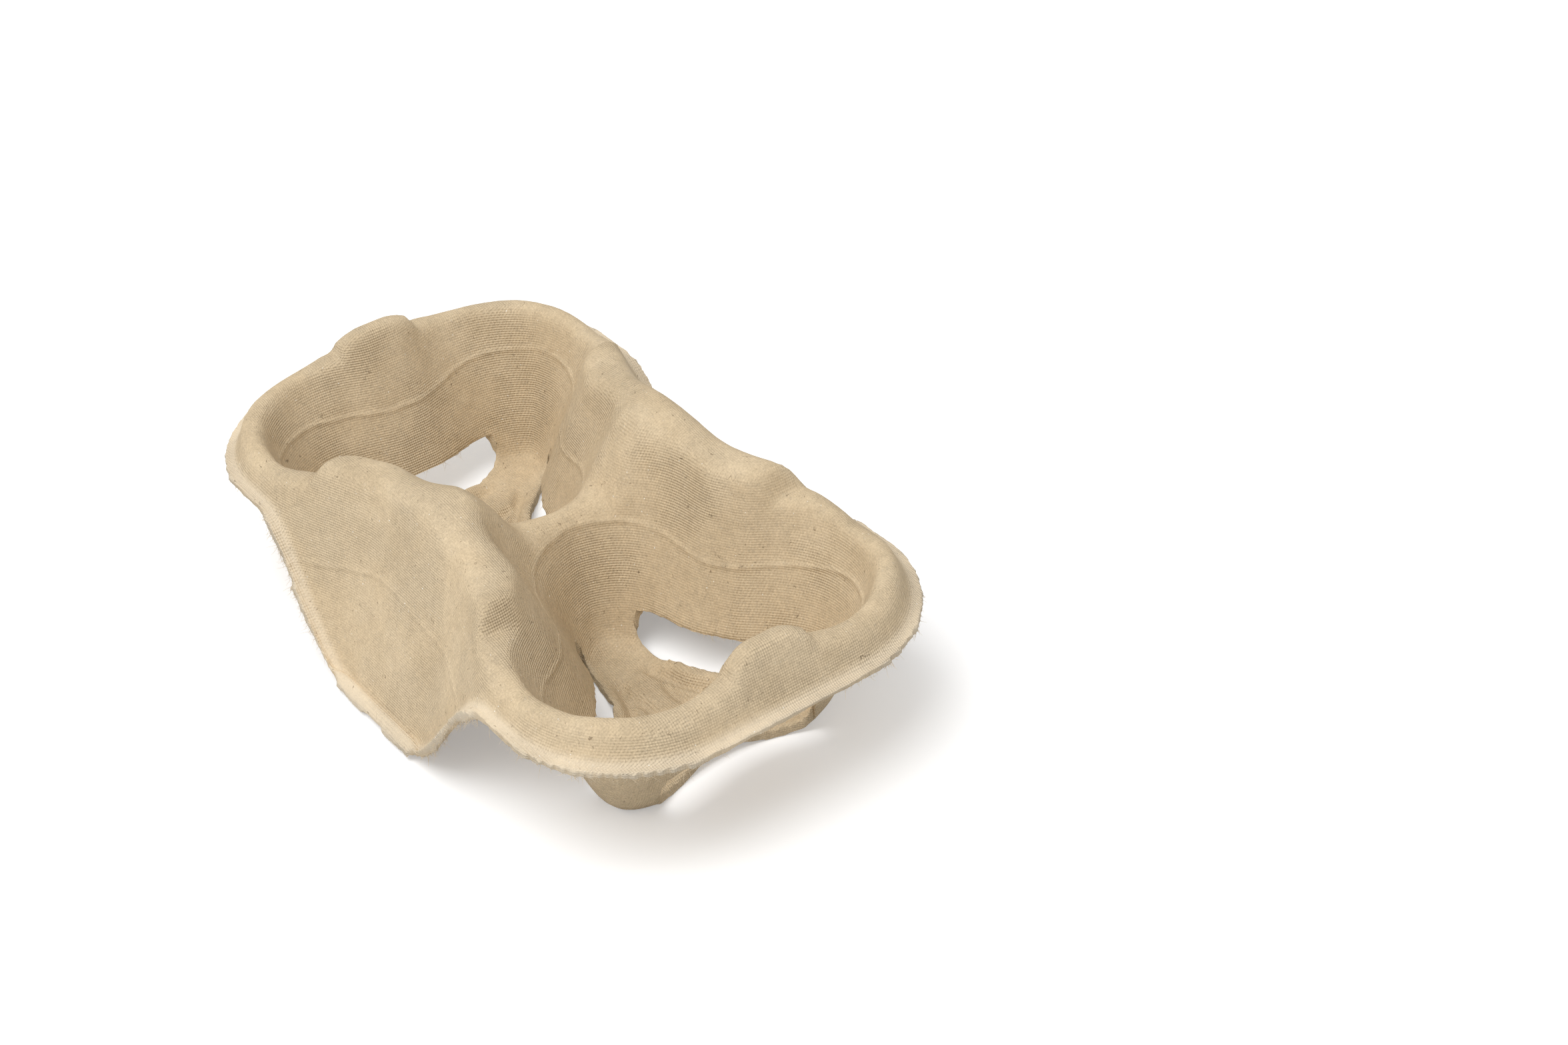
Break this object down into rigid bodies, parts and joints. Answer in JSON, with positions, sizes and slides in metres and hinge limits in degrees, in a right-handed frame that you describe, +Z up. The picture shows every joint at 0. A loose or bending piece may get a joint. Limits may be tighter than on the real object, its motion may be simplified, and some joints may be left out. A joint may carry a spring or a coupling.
{
  "type": "cup carrier",
  "caption": "Moulded paper-pulp carrier with two side-by-side cup wells, each parted by three flaps, a flared lip and raised handling shoulders at the waist.",
  "frame": {"origin": "centre of the carrier's outline, on the surface that its floors and waist feet stand on", "axes": "+X along the two cup wells, +Y across the carrier, +Z up out of the wells"},
  "size_m": [0.21, 0.125, 0.059],
  "materials": {
    "pulp": "matt moulded paper pulp with a woven screen imprint, short fibres and dark and light specks"
  },
  "bodies": {
    "root": {"cup_carrier": "pulp"}
  },
  "joints": []
}
